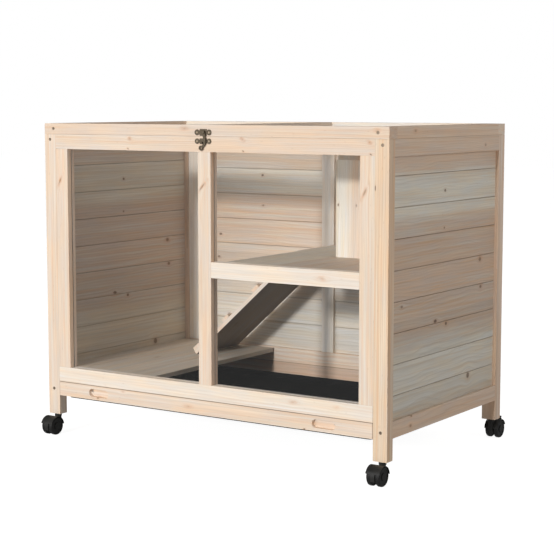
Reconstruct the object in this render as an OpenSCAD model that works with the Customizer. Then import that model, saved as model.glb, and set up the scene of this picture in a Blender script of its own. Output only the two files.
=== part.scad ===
// Two-level indoor rabbit hutch on twin-wheel casters.
// Pine frame, tongue-and-groove walls, a hinged lid frame with a swing latch,
// a corner shelf with a nook wall, a cleated ramp, a low platform and a
// shallow litter tray on a wooden drawer front.
// Frame: X to the right, Y to the back, Z up, origin on the floor under the middle.

/* [Overall] */
// Width of the hutch over the legs
body_w = 915; // [890:1:950]
// Depth of the hutch over the legs
body_d = 533; // [515:1:560]
// Height from the floor to the top of the lid
body_h = 730; // [715:1:760]
// Height of the leg ends above the floor
leg_z = 48; // [48:1:52]

/* [Timber] */
// Width of a leg, side to side
leg_w = 33; // [30:0.5:36]
// Depth of the front and back frame timbers
frame_t = 24; // [22:0.5:26]
// Width of the stiles beside the legs
stile_w = 34.5; // [30:0.5:38]
// Width of the two middle stiles
mid_w = 34; // [30:0.5:38]
// Height of the front top rail
rail_h = 33.5; // [30:0.5:36]
// Height of the side rails
side_rail_h = 35; // [32:0.5:38]
// Height of the lid frame
lid_h = 24.7; // [22:0.1:28]
// Width of the lid rails
lid_rail_w = 33; // [30:0.5:36]

/* [Walls and floors] */
// Cover width of one tongue-and-groove board
board_w = 64.4; // [60:0.1:70]
// Thickness of the side wall boards
side_board_t = 13.5; // [11:0.5:14]
// Thickness of the back wall boards
back_board_t = 8.5; // [8:0.5:10]
// Recess of the boards behind the outside of the frame
recess = 8; // [6:0.5:9]
// Height of the upper shelf's walking face
shelf_top = 434; // [400:1:460]
// Height of the low platform's walking face
platform_top = 162; // [158:1:166]
// Thickness of the shelf, the platform, the ramp and the nook wall
floor_t = 10; // [9:0.5:12]
// Left edge of the upper shelf
shelf_x = 41; // [30:1:60]
// Right edge of the low platform
platform_x = -158; // [-200:1:-140]
// Height of the nook wall above the shelf
nook_h = 217; // [180:1:230]

/* [Ramp] */
// Width of the ramp
ramp_w = 179; // [150:1:184]
// Distance of the ramp's foot from the shelf edge
ramp_run = 299.6; // [285:0.1:310]
// Gap between the ramp and the back frame
ramp_gap = 14.5; // [0.5:0.5:30]
// Height of a cleat
cleat_h = 8.5; // [6:0.5:10]
// Width of a cleat
cleat_w = 22; // [16:1:26]

/* [Tray and drawer] */
// Bottom of the drawer front
drawer_z = 93.5; // [92:0.5:95]
// Height of the drawer front
drawer_h = 32.9; // [32:0.1:33]
// Thickness of the drawer front
drawer_t = 18; // [16:0.5:20]
// Wall thickness of the litter tray
tray_t = 1.6; // [1.2:0.1:2.4]
// Depth of the litter tray
tray_h = 13.5; // [12:0.5:14]

/* [Casters] */
// Wheel radius
wheel_r = 21; // [20:0.5:21]
// Horizontal distance from the swivel axis to the axle
trail = 21; // [20:0.5:23]
// Half width of the web between the twin wheels
web_x = 5.2; // [5:0.1:5.6]
// Half width over the two wheels
twin_x = 16; // [15.5:0.1:16]
// Radius of the screw-in stem
stem_r = 3.9; // [3.5:0.1:4]

/* [Hidden] */

$fn = 48;
pine = [0.93, 0.83, 0.70];
pine_side = [0.80, 0.72, 0.62];
pine_grey = [0.74, 0.70, 0.62];
black = [0.10, 0.10, 0.10];
bronze = [0.36, 0.29, 0.20];
zinc = [0.62, 0.60, 0.56];
clear = [0.85, 0.92, 0.95, 0.25];

X = body_w / 2;                       // outside of the legs, side
Y = body_d / 2;                       // outside of the legs, front and back
XI = X - leg_w;                       // inner face of the legs
YI = Y - frame_t;                     // inner face of the front and back frames
XS = XI - stile_w;                    // inner face of the stiles
XM = mid_w / 2;                       // side of the middle stiles
seam_gap = 0.3;                       // air between the lid and the frame
lid_z = body_h - lid_h;               // underside of the lid
top_z = lid_z - seam_gap;             // top of the frame
rear_leg_t = 17;                      // rear leg, front to back
batten_t = 11;                        // strip in front of the rear leg
YB = Y - rear_leg_t - batten_t;       // inner face of that strip
wall_x = X - recess - side_board_t;   // inner face of the side boards
rail_x = X - frame_t;                 // inner face of the side rails
front_rail_z = top_z - rail_h;        // underside of the front top rail
low_rail_z = drawer_z + drawer_h + 0.6; // underside of the front bottom rail
low_rail_top = platform_top;
side_top_z = top_z - side_rail_h - 0.3;
side_low_z = 94.2;
side_low_top = side_low_z + side_rail_h;
back_low_top = 164;
back_top_z = top_z - side_rail_h;
shelf_rail_h = 35;
tongue = 4;                           // tongue height
tongue_t = 4;                         // tongue thickness

// glazing groove in the front frame
pane_t = 2;
pane_y = -Y + 12.7;                   // front face of the panes
groove_w = 2.2;
groove_d = 5;
pane_in = 4;                          // how far a pane enters its groove

// lid glazing
lid_pane_t = 2.5;
lid_pane_z = lid_z + 6.9;

// caster positions on the leg centres
cx = X - leg_w / 2;
cyf = -(Y - frame_t / 2);
cyr = Y - frame_t / 2;

module bx(x0, x1, y0, y1, z0, z1) {
  translate([x0, y0, z0]) cube([x1 - x0, y1 - y0, z1 - z0]);
}

// Cylinder along Y from y0 to y1
module ycyl(x, z, y0, y1, r) {
  translate([x, y1, z]) rotate([90, 0, 0]) cylinder(h = y1 - y0, r = r);
}

// Cylinder along X from x0 to x1
module xcyl(x0, x1, y, z, r) {
  translate([x0, y, z]) rotate([0, 90, 0]) cylinder(h = x1 - x0, r = r);
}

// Section of one tongue-and-groove board: [thickness, width] points.
// lo and hi say whether the low edge has a groove and the high edge a tongue.
function tg(T, w0, w1, lo = true, hi = true, c = 1.1, g = 0.3) =
  let (a = w0 + (lo ? g / 2 : 0), b = w1 - (hi ? g / 2 : 0),
       ca = lo ? c : 0.01, cb = hi ? c : 0.01, m = T / 2, h = tongue_t / 2)
  concat(
    [[0, a + ca], [ca, a]],
    lo ? [[m - h - 0.2, a], [m - h - 0.2, a + tongue + 0.4],
          [m + h + 0.2, a + tongue + 0.4], [m + h + 0.2, a]] : [],
    [[T - ca, a], [T, a + ca], [T, b - cb], [T - cb, b]],
    hi ? [[m + h, b], [m + h, b + tongue], [m - h, b + tongue], [m - h, b]] : [],
    [[cb, b], [0, b - cb]]);

function flip(p) = [for (q = p) [q[1], q[0]]];

// Board with its length along Y, standing on edge: thickness along X, width along Z
module wall_board_y(x, T, z0, z1, y0, y1, lo, hi) {
  translate([x, y1, 0]) rotate([90, 0, 0])
    linear_extrude(y1 - y0) polygon(tg(T, z0, z1, lo, hi));
}

// Board with its length along X, standing on edge: thickness along Y, width along Z
module wall_board_x(y, T, z0, z1, x0, x1, lo, hi) {
  translate([x0, y, 0]) rotate([90, 0, 90])
    linear_extrude(x1 - x0) polygon(tg(T, z0, z1, lo, hi));
}

// Flat board with its length along Y: thickness along Z, width along X
module floor_board(z, T, x0, x1, y0, y1, lo, hi) {
  translate([0, y1, z]) rotate([90, 0, 0])
    linear_extrude(y1 - y0) polygon(flip(tg(T, x0, x1, lo, hi)));
}

// Upright board: thickness along Y, width along X
module upright_board(y, T, x0, x1, z0, z1, lo, hi) {
  translate([0, y, z0])
    linear_extrude(z1 - z0) polygon(flip(tg(T, x0, x1, lo, hi)));
}

// Stepped screw hole from the front face inwards (sy = 1) or the back face (sy = -1)
screw_head_r = 3.6;
screw_r = 2;
module screw_hole(x, z, face, sy, len) {
  y0 = sy > 0 ? face - 1 : face - 4.2;
  y1 = sy > 0 ? face + 4.2 : face + 1;
  ycyl(x, z, y0, y1, screw_head_r + 0.1);
  ycyl(x, z, sy > 0 ? face : face - len, sy > 0 ? face + len : face, screw_r + 0.05);
}

// Screw with a sunk flat head, a cross recess and a plain shank
module screw(x, z, face, sy, len, sunk = 1) {
  difference() {
    union() {
      ycyl(x, z, sy > 0 ? face + sunk : face - 4, sy > 0 ? face + 4 : face - sunk, screw_head_r);
      ycyl(x, z, sy > 0 ? face + 3 : face - len + 1, sy > 0 ? face + len - 1 : face - 3, screw_r);
    }
    for (a = [0, 90]) translate([x, face + sy * sunk, z]) rotate([0, a + 20, 0])
      cube([4.2, 2.4, 0.9], center = true);
  }
}

leg_screw_x = X - 15.5;
leg_screw_z = [top_z - 12, side_low_z + 14.2];
lid_screw_x = XI + 6.5;
lid_screw_z = lid_z + 12.7;

// ---------------------------------------------------------------- legs
module leg_front(s) {
  difference() {
    bx(s > 0 ? XI : -X, s > 0 ? X : -XI, -Y, -YI, leg_z, top_z);
    for (z = leg_screw_z) screw_hole(s * leg_screw_x, z, -Y, 1, 60);
    translate([s * cx, cyf, leg_z - 1]) cylinder(h = 35, r = stem_r + 0.04);
  }
}
module leg_rear(s) {
  difference() {
    bx(s > 0 ? XI : -X, s > 0 ? X : -XI, Y - rear_leg_t, Y, leg_z, top_z);
    for (z = leg_screw_z) screw_hole(s * leg_screw_x, z, Y, -1, 60);
    translate([s * cx, cyr, leg_z - 1]) cylinder(h = 35, r = stem_r + 0.04);
  }
}
module front_left_leg() { color(pine) leg_front(-1); }
module front_right_leg() { color(pine) leg_front(1); }
module rear_left_leg() { color(pine_side) leg_rear(-1); }
module rear_right_leg() { color(pine_side) leg_rear(1); }

// ---------------------------------------------------------------- front frame
keeper_z = 694.7;
keeper_x = [-17.5, 14.2];
module small_screw_holes_front(z) {
  for (x = keeper_x) ycyl(x, z, -Y - 1, -Y + 9, 1.25);
}
// groove running along X in a horizontal member, on its top (up) or underside
module groove_x(x0, x1, z, up) {
  bx(x0, x1, pane_y - 0.1, pane_y - 0.1 + groove_w, up ? z - groove_d : z - 1, up ? z + 1 : z + groove_d);
}
// groove running along Z in a stile whose inner face is x, cutting towards sx
module groove_z(x, sx, z0, z1) {
  bx(sx > 0 ? x - 1 : x - groove_d, sx > 0 ? x + groove_d : x + 1,
     pane_y - 0.1, pane_y - 0.1 + groove_w, z0, z1);
}
module front_top_rail() {
  color(pine) difference() {
    bx(-XI, XI, -Y, -YI, front_rail_z, top_z);
    groove_x(-XS - groove_d, XS + groove_d, front_rail_z, false);
    small_screw_holes_front(keeper_z);
  }
}
module front_bottom_rail() {
  color(pine) difference() {
    bx(-XI, XI, -Y, -YI, low_rail_z, low_rail_top);
    groove_x(-XS - groove_d, XS + groove_d, low_rail_top, true);
  }
}
module front_stile(s) {
  difference() {
    bx(s > 0 ? XS : -XI, s > 0 ? XI : -XS, -Y, -YI, low_rail_top, front_rail_z);
    groove_z(s * XS, s, low_rail_top - 1, front_rail_z + 1);
  }
}
module front_left_stile() { color(pine) front_stile(-1); }
module front_right_stile() { color(pine) front_stile(1); }
module front_mid_stile() {
  color(pine) difference() {
    bx(-XM, XM, -Y, -YI, low_rail_top, front_rail_z);
    groove_z(XM, -1, low_rail_top - 1, front_rail_z + 1);
    groove_z(-XM, 1, low_rail_top - 1, front_rail_z + 1);
  }
}
module shelf_front_rail() {
  color(pine) difference() {
    bx(XM, XS, -Y, -YI, shelf_top - shelf_rail_h, shelf_top);
    groove_x(XM - 1, XS + 1, shelf_top, true);
    groove_x(XM - 1, XS + 1, shelf_top - shelf_rail_h, false);
  }
}
// Clear panes of the three front openings
module front_windows() {
  color(clear) {
    bx(-XS - pane_in, -XM + pane_in, pane_y, pane_y + pane_t, low_rail_top - pane_in, front_rail_z + pane_in);
    bx(XM - pane_in, XS + pane_in, pane_y, pane_y + pane_t, low_rail_top - pane_in, shelf_top - shelf_rail_h + pane_in);
    bx(XM - pane_in, XS + pane_in, pane_y, pane_y + pane_t, shelf_top - pane_in, front_rail_z + pane_in);
  }
}

// ---------------------------------------------------------------- side walls
module side_rails(s) {
  difference() {
    union() {
      bx(s > 0 ? rail_x : -X, s > 0 ? X : -rail_x, -YI, YB, side_top_z, top_z);
      bx(s > 0 ? rail_x : -X, s > 0 ? X : -rail_x, -YI, YB, side_low_z, side_low_top);
    }
    for (z = leg_screw_z) {
      ycyl(s * leg_screw_x, z, -YI - 1, -Y + 60, screw_r + 0.05);
      ycyl(s * leg_screw_x, z, Y - 60, YB + 1, screw_r + 0.05);
    }
  }
  difference() {
    bx(s > 0 ? XI : -X, s > 0 ? X : -XI, YB, YB + batten_t, leg_z, top_z);
    for (z = leg_screw_z) ycyl(s * leg_screw_x, z, YB - 1, YB + batten_t + 1, screw_r + 0.05);
    translate([s * cx, cyr, leg_z - 1]) cylinder(h = 35, r = stem_r + 0.04);
  }
}
module left_side_rails() { color(pine_side) side_rails(-1); }
module right_side_rails() { color(pine_side) side_rails(1); }

// edges of the side boards, counted down from the top rail
side_first = 39.7;
side_edges = concat([side_top_z],
  [for (k = [0 : 20]) if (side_top_z - side_first - k * board_w > side_low_top + 12) side_top_z - side_first - k * board_w],
  [side_low_top]);
module side_boards(s) {
  n = len(side_edges);
  for (i = [0 : n - 2])
    wall_board_y(s > 0 ? wall_x : -wall_x - side_board_t, side_board_t,
      side_edges[i + 1], side_edges[i], -YI, YB, i < n - 2, i > 0);
}
module left_wall_boards() { color(pine_grey) side_boards(-1); }
module right_wall_boards() { color(pine_grey) side_boards(1); }

// ---------------------------------------------------------------- back wall
module back_rails() {
  color(pine_side) {
    difference() {
      bx(-XI, XI, YI, Y, back_top_z, top_z);
      for (h = hinge_x, d = [-1, 1]) ycyl(h + d * hinge_screw_dx, top_z - 12, Y - 14, Y + 1, 1.55);
    }
    bx(-XI, XI, YI, Y, side_low_top - 1.2, back_low_top);
    bx(-XI, XI, YI, Y, side_low_z, side_low_top - 1.5);
  }
}
module back_stiles() {
  color(pine_side) {
    bx(-XI, -XS, YI, Y, back_low_top, back_top_z);
    bx(XS, XI, YI, Y, back_low_top, back_top_z);
    bx(-XM, XM, YI, Y, back_low_top, back_top_z);
  }
}
back_y = Y - recess - back_board_t;
back_edges = concat([for (k = [0 : 20]) if (back_low_top + k * 64 < back_top_z - 20) back_low_top + k * 64], [back_top_z]);
module back_wall_boards() {
  n = len(back_edges);
  color(pine_grey) for (i = [0 : n - 2], b = [[-XS, -XM], [XM, XS]])
    wall_board_x(back_y, back_board_t, back_edges[i], back_edges[i + 1], b[0], b[1], i > 0, i < n - 2);
}

// ---------------------------------------------------------------- floors inside
floor_y0 = -YI + 0.2;
floor_y1 = YB - 0.2;
module floor_boards(x0, x1, z, n) {
  w = (x1 - x0) / n;
  for (i = [0 : n - 1])
    floor_board(z, floor_t, x0 + i * w, x0 + (i + 1) * w, floor_y0, floor_y1, i > 0, i < n - 1);
}
module upper_shelf() { color(pine_grey) floor_boards(shelf_x, wall_x - 0.3, shelf_top - floor_t, 6); }
module shelf_battens() {
  z1 = shelf_top - floor_t;
  {
    bx(XM + 4, wall_x - 16, -YI, -YI + 15, z1 - 20, z1);
    bx(shelf_x + 24, wall_x - 16, YB - 14, YI, z1 - 20, z1);
    bx(wall_x - 15.5, wall_x, -YI + 0.2, YB - 0.2, z1 - 20, z1);
  }
}
nook_y = -23;
nook_x = 185;
module nook_wall() {
  n = 4;
  w = 64.4;
  color(pine_grey) for (i = [0 : n - 1])
    upright_board(nook_y, floor_t, nook_x + i * w, min(nook_x + (i + 1) * w, wall_x - 0.3),
      shelf_top, shelf_top + nook_h, i > 0, i < n - 1);
  // batten behind the top ends, standing a little above them
  color(pine_side) bx(nook_x, wall_x - 0.3, nook_y + floor_t + 0.1, nook_y + floor_t + 12.1,
    shelf_top + nook_h - 14, shelf_top + nook_h + 17);
}
module low_platform() { color(pine_grey) floor_boards(-wall_x + 0.3, platform_x, platform_top - floor_t, 4); }
module platform_battens() {
  z1 = platform_top - floor_t;
  {
    bx(-wall_x + 0.3, platform_x - 2, -YI, -YI + 15, z1 - 18, z1);
    bx(-wall_x + 0.3, -wall_x + 110, YB - 15, YB, z1 - 18, z1);
    bx(-wall_x, -wall_x + 15, -YI + 15.5, YB - 15.5, z1 - 18, z1);
  }
}

module floor_bearers() { color(pine_side) { shelf_battens(); platform_battens(); } }

// ---------------------------------------------------------------- ramp
ramp_x1 = shelf_x - 0.2;
ramp_rise = shelf_top - platform_top - 4.6;
ramp_a = atan2(ramp_rise, ramp_run);
ramp_foot = ramp_x1 - ramp_run;       // lower corner of the foot
ramp_x0 = ramp_foot - floor_t * sin(ramp_a);
ramp_z0 = platform_top + floor_t * cos(ramp_a);
ramp_y1 = YI - ramp_gap;
ramp_y0 = ramp_y1 - ramp_w;
module ramp_board() {
  // foot cut square, head cut upright against the shelf edge and level with its top
  color(pine_grey) translate([0, ramp_y1, 0]) rotate([90, 0, 0])
    linear_extrude(ramp_w) polygon([
      [ramp_foot, platform_top],
      [ramp_x1, platform_top + ramp_rise],
      [ramp_x1, shelf_top],
      [ramp_x0 + (shelf_top - ramp_z0) / tan(ramp_a), shelf_top],
      [ramp_x0, ramp_z0]]);
}
module ramp_cleats() {
  color(pine_side) for (k = [0 : 3])
    translate([ramp_x0, ramp_y0, ramp_z0]) rotate([0, -ramp_a, 0])
      translate([1 + k * 117, 1, 0]) cube([cleat_w, ramp_w - 2, cleat_h]);
}

// ---------------------------------------------------------------- tray and drawer
tray_x = 412;
tray_y0 = -Y + drawer_t;
tray_y1 = YB - 2.5;
tray_z = 87;
tray_screw_x = [-330, -110, 110, 330];
tray_screw_z = 112;
module rrect(x0, x1, y0, y1, z0, z1, r) {
  union() {
    bx(x0 + r, x1 - r, y0, y1, z0, z1);
    bx(x0, x1, y0 + r, y1 - r, z0, z1);
    for (x = [x0 + r, x1 - r], y = [y0 + r, y1 - r]) translate([x, y, z0]) cylinder(h = z1 - z0, r = r);
  }
}
module litter_tray() {
  zt = tray_z + tray_h;
  color(black) difference() {
    union() {
      rrect(-tray_x, tray_x, tray_y0 + 0.2, tray_y1, tray_z, zt, 10);
      bx(-XI + 1, XI - 1, tray_y0 + 3, tray_y1 - 0, zt - tray_t, zt);
      bx(-tray_x + 6, tray_x - 6, tray_y0 + 0.1, tray_y0 + 0.1 + tray_t, zt - 1, drawer_z + drawer_h - 3);
    }
    rrect(-tray_x + tray_t, tray_x - tray_t, tray_y0 + 0.2 + tray_t, tray_y1 - tray_t - 4, tray_z + tray_t, zt + 1, 8);
    for (x = tray_screw_x) ycyl(x, tray_screw_z, tray_y0 - 1, tray_y0 + 4, screw_r + 0.1);
  }
}
module tray_screws() {
  color(zinc) for (x = tray_screw_x) {
    ycyl(x, tray_screw_z, tray_y0 - 11, tray_y0 + 1.8, screw_r);
    ycyl(x, tray_screw_z, tray_y0 + 0.1 + tray_t + 0.05, tray_y0 + 3.6, 4);
  }
}
pocket_x = [-305.5, 305.5];
pocket_w = 58;
pocket_h = 18;
pocket_d = 9;
module drawer_front() {
  color(pine) difference() {
    bx(-XI + 0.6, XI - 0.6, -Y, -Y + drawer_t, drawer_z, drawer_z + drawer_h);
    for (x = pocket_x) {
      z = drawer_z + 16;
      for (d = [-1, 1]) ycyl(x + d * (pocket_w - pocket_h) / 2, z, -Y - 1, -Y + pocket_d, pocket_h / 2);
      bx(x - (pocket_w - pocket_h) / 2, x + (pocket_w - pocket_h) / 2, -Y - 1, -Y + pocket_d, z - pocket_h / 2, z + pocket_h / 2);
    }
    for (x = tray_screw_x) ycyl(x, tray_screw_z, tray_y0 - 12, tray_y0 + 1, screw_r + 0.05);
  }
}
module tray_runners() {
  color(pine_side) for (s = [-1, 1])
    bx(s > 0 ? tray_x + 1.5 : -rail_x, s > 0 ? rail_x : -tray_x - 1.5, -YI + 1, YB - 1,
       tray_z + 2, tray_z + tray_h - tray_t - 0.2);
}
module frame_screws() {
  color(zinc) for (s = [-1, 1], z = leg_screw_z) {
    screw(s * leg_screw_x, z, -Y, 1, 58, 0.8);
    screw(s * leg_screw_x, z, Y, -1, 58, 0.8);
  }
}

// ---------------------------------------------------------------- lid
lyf = -Y + lid_rail_w;
lyr = Y - lid_rail_w;
lid_groove_z0 = lid_pane_z - 0.2;
lid_groove_z1 = lid_pane_z + lid_pane_t + 0.2;
module lid_front_rail() {
  color(pine) difference() {
    bx(-X, X, -Y, lyf, lid_z, body_h);
    bx(-XI - groove_d, XI + groove_d, lyf - groove_d, lyf + 1, lid_groove_z0, lid_groove_z1);
    for (s = [-1, 1]) screw_hole(s * lid_screw_x, lid_screw_z, -Y, 1, 70);
    small_screw_holes_front(latch_z);
  }
}
module lid_rear_rail() {
  color(pine) difference() {
    bx(-X, X, lyr, Y, lid_z, body_h);
    bx(-XI - groove_d, XI + groove_d, lyr - 1, lyr + groove_d, lid_groove_z0, lid_groove_z1);
    for (s = [-1, 1]) screw_hole(s * lid_screw_x, lid_screw_z, Y, -1, 70);
    for (h = hinge_x, d = [-1, 1]) ycyl(h + d * hinge_screw_dx, lid_z + 11, Y - 14, Y + 1, 1.55);
  }
}
module lid_side_rails() {
  color(pine) for (s = [-1, 1]) difference() {
    bx(s > 0 ? XI : -X, s > 0 ? X : -XI, lyf, lyr, lid_z, body_h);
    bx(s > 0 ? XI - 1 : -XI - groove_d, s > 0 ? XI + groove_d : -XI + 1, lyf - 1, lyr + 1, lid_groove_z0, lid_groove_z1);
    ycyl(s * lid_screw_x, lid_screw_z, lyf - 1, -Y + 70, screw_r + 0.05);
    ycyl(s * lid_screw_x, lid_screw_z, Y - 70, lyr + 1, screw_r + 0.05);
  }
}
module lid_mid_rail() {
  color(pine) difference() {
    bx(-XM, XM, lyf, lyr, lid_z, body_h);
    for (s = [-1, 1])
      bx(s > 0 ? XM - groove_d : -XM - 1, s > 0 ? XM + 1 : -XM + groove_d, lyf - 1, lyr + 1, lid_groove_z0, lid_groove_z1);
  }
}
module lid_windows() {
  color(clear) for (s = [-1, 1])
    bx(s > 0 ? XM - pane_in : -XI - pane_in, s > 0 ? XI + pane_in : -XM + pane_in,
       lyf - pane_in, lyr + pane_in, lid_pane_z, lid_pane_z + lid_pane_t);
}
module lid_screws() {
  color(zinc) for (s = [-1, 1]) {
    screw(s * lid_screw_x, lid_screw_z, -Y, 1, 68, 0.8);
    screw(s * lid_screw_x, lid_screw_z, Y, -1, 68, 0.8);
  }
}

// ---------------------------------------------------------------- hinges
hinge_x = [-300, 300];
hinge_l = 64;
hinge_screw_dx = 20;
leaf_t = 1.4;
barrel_r = 3;
hinge_y = Y + barrel_r + 0.2;
hinge_z = lid_z - seam_gap / 2;
pin_r = 1.5;
knuckle = hinge_l / 3;
// countersunk wood screw of a hinge leaf, head flush with the leaf
module leaf_screw(x, z) {
  translate([x, Y + leaf_t, z]) rotate([90, 0, 0]) {
    cylinder(h = 1.3, r1 = 2.8, r2 = 1.5);
    cylinder(h = 13, r = 1.5);
  }
}
module leaf_hole(x, z) {
  translate([x, Y + leaf_t + 0.001, z]) rotate([90, 0, 0]) {
    cylinder(h = 1.35, r1 = 2.85, r2 = 1.55);
    translate([0, 0, -1]) cylinder(h = 5, r = 1.55);
  }
}
module hinge_frame_leaves() {
  color(bronze) for (h = hinge_x) {
    difference() {
      union() {
        bx(h - hinge_l / 2, h + hinge_l / 2, Y, Y + leaf_t, top_z - 20, top_z - 4);
        for (d = [-1, 1]) {
          x0 = d > 0 ? h + knuckle / 2 + 0.2 : h - hinge_l / 2;
          x1 = d > 0 ? h + hinge_l / 2 : h - knuckle / 2 - 0.2;
          xcyl(x0, x1, hinge_y, hinge_z, barrel_r);
          bx(x0, x1, Y, Y + leaf_t, top_z - 5, hinge_z);
        }
      }
      xcyl(h - hinge_l, h + hinge_l, hinge_y, hinge_z, pin_r + 0.02);
      for (d = [-1, 1]) leaf_hole(h + d * hinge_screw_dx, top_z - 12);
    }
    for (d = [-1, 1]) leaf_screw(h + d * hinge_screw_dx, top_z - 12);
  }
}
module hinge_lid_leaves() {
  color(bronze) for (h = hinge_x) {
    difference() {
      union() {
        bx(h - hinge_l / 2, h + hinge_l / 2, Y, Y + leaf_t, lid_z + 4, lid_z + 19);
        xcyl(h - knuckle / 2 + 0.2, h + knuckle / 2 - 0.2, hinge_y, hinge_z, barrel_r);
        bx(h - knuckle / 2 + 0.2, h + knuckle / 2 - 0.2, Y, Y + leaf_t, hinge_z, lid_z + 5);
      }
      xcyl(h - hinge_l, h + hinge_l, hinge_y, hinge_z, pin_r + 0.06);
      for (d = [-1, 1]) leaf_hole(h + d * hinge_screw_dx, lid_z + 11);
    }
    for (d = [-1, 1]) leaf_screw(h + d * hinge_screw_dx, lid_z + 11);
  }
}
module hinge_pins() {
  color(zinc) for (h = hinge_x) {
    xcyl(h - hinge_l / 2 - 0.6, h + hinge_l / 2 + 0.6, hinge_y, hinge_z, pin_r);
    for (d = [-1, 1]) xcyl(h + d * (hinge_l / 2 + 1.1) - 0.5, h + d * (hinge_l / 2 + 1.1) + 0.5, hinge_y, hinge_z, 2.3);
  }
}

// ---------------------------------------------------------------- latch
latch_z = 713.6;                      // height of the lid plate's screws and of the pivot
latch_x = -1.7;                       // middle of the plates
plate_t = 1.5;
pivot_x = 0.8;
hook_y0 = -Y - plate_t - 2.6;         // front face of the hook
hook_t = 2.2;
// waisted plate with a screw eye at each end
module latch_blank(z, eye_r, half_h, x0, x1) {
  difference() {
    union() {
      for (x = keeper_x) ycyl(x, z, -Y - plate_t, -Y, eye_r);
      bx(x0, x1, -Y - plate_t, -Y, z - half_h, z + half_h);
      bx(keeper_x[0], keeper_x[1], -Y - plate_t, -Y, z - half_h * 0.62, z + half_h * 0.62);
    }
    for (x = keeper_x) {
      ycyl(x, z, -Y - plate_t - 1, -Y + 1, 1.25);
      translate([x, -Y - plate_t - 0.001, z]) rotate([-90, 0, 0]) cylinder(h = 1.3, r1 = 2.9, r2 = 1.6);
    }
  }
  for (x = keeper_x) translate([x, -Y - plate_t, z]) rotate([-90, 0, 0]) {
    cylinder(h = 1.2, r1 = 2.75, r2 = 1.5);
    cylinder(h = 9, r = 1.2);
  }
}
module latch_plate() {
  color(bronze) {
    difference() {
      latch_blank(latch_z, 6.3, 7.3, -10, 8);
      ycyl(pivot_x, latch_z, -Y - 4, -Y + 1, 1.5);
    }
    // rivet that the hook swings on
    ycyl(pivot_x, latch_z, -Y - 4.3, -Y, 1.48);
    ycyl(pivot_x, latch_z, hook_y0 - 1.3, hook_y0 - 0.1, 3.1);
  }
}
// centre line of the hook, from the pivot down, round the stud, to the finger ring
hook_pts = [[0.8, 713.6], [2.0, 709], [3.2, 704], [4.1, 699], [4.5, 694.5], [4.3, 691], [3.2, 687.9], [0.9, 685.4], [-2.2, 683.2]];
hook_w = [4.2, 3.6, 3.1, 2.9, 2.9, 2.8, 2.7, 2.5, 2.3];
ring_x = -5.8;
ring_z = 680.2;
function unit(v) = v / norm(v);
function tangent(i) = unit(hook_pts[min(i + 1, len(hook_pts) - 1)] - hook_pts[max(i - 1, 0)]);
function side(i, s) = hook_pts[i] + s * hook_w[i] * [-tangent(i)[1], tangent(i)[0]];
hook_outline = concat([for (i = [0 : len(hook_pts) - 1]) side(i, 1)],
                      [for (i = [len(hook_pts) - 1 : -1 : 0]) side(i, -1)]);
module latch_hook() {
  color(bronze) difference() {
    union() {
      translate([0, hook_y0 + hook_t, 0]) rotate([90, 0, 0]) linear_extrude(hook_t) polygon(hook_outline);
      ycyl(pivot_x, latch_z, hook_y0, hook_y0 + hook_t, 4.4);
      ycyl(ring_x, ring_z, hook_y0, hook_y0 + hook_t, 5.4);
    }
    ycyl(pivot_x, latch_z, hook_y0 - 1, hook_y0 + hook_t + 1, 1.55);
    ycyl(ring_x, ring_z, hook_y0 - 1, hook_y0 + hook_t + 1, 2.6);
  }
}
stud_x = -2.6;
stud_z = 691.4;
module latch_keeper() {
  color(bronze) {
    latch_blank(keeper_z, 5.8, 6.1, -10, 8);
    ycyl(stud_x, stud_z, hook_y0 - 1.2, -Y - plate_t, 1.9);
    ycyl(stud_x, stud_z, hook_y0 - 2.6, hook_y0 - 1.2, 2.6);
  }
}

// ---------------------------------------------------------------- casters
hood_r = wheel_r + 1.4;
hood_in = wheel_r + 0.5;
hood_x = twin_x + 0.5;
module caster_stems() {
  color(zinc) for (s = [-1, 1], y = [cyf, cyr]) translate([s * cx, y, 0]) {
    translate([0, 0, 26]) cylinder(h = 54, r = stem_r);
    translate([0, 0, leg_z - 1.8]) cylinder(h = 1.8, r = 6.8);
  }
}
// brake lever pivot, on the trailing side of the hood
lever_a = 55;
lever_c = wheel_r + 4.4;
lever_y = trail + lever_c * cos(lever_a);
lever_z = wheel_r + lever_c * sin(lever_a);
// fork with its hood, trailing towards -Y; local origin under the stem
module fork_body(braked) {
  difference() {
    union() {
      if (braked) for (x0 = [-9.2, 7]) translate([x0, -trail, wheel_r]) rotate([90, 0, 90])
        linear_extrude(2.2) rotate(180 - lever_a) polygon([[hood_r - 0.7, -2], [lever_c + 1.3, -2],
          [lever_c + 2, -1.2], [lever_c + 2, 1.2], [lever_c + 1.3, 2], [hood_r - 0.7, 2]]);
      // web between the wheels
      translate([-web_x, -trail, wheel_r]) rotate([90, 0, 90]) linear_extrude(2 * web_x) union() {
        intersection() { circle(r = hood_in + 0.5, $fn = 64); translate([-40, -9]) square([80, 60]); }
        translate([trail - 6, -2]) square([web_x + 6, 25]);
      }
      // hood over both wheels
      translate([-hood_x, -trail, wheel_r]) rotate([90, 0, 90]) linear_extrude(2 * hood_x) intersection() {
        difference() { circle(r = hood_r, $fn = 96); circle(r = hood_in, $fn = 96); }
        polygon([[0, 0], [-40, 14], [-40, 60], [60, 60], [60, 6]]);
      }
      // stem socket
      translate([0, 0, 24]) cylinder(h = 21.2, r = web_x);
      translate([0, 0, 41]) cylinder(h = 4.2, r = 8.2);
    }
    translate([0, 0, 25.5]) cylinder(h = 21, r = stem_r + 0.05);
    xcyl(-20, 20, -trail, wheel_r, 2.52);
    if (braked) xcyl(-12, 12, -lever_y, lever_z, 1.25);
  }
}
module fork(x, y, sy, braked = false) {
  translate([x, y, 0]) rotate([0, 0, sy < 0 ? 0 : 180]) color(black) fork_body(braked);
}
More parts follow.
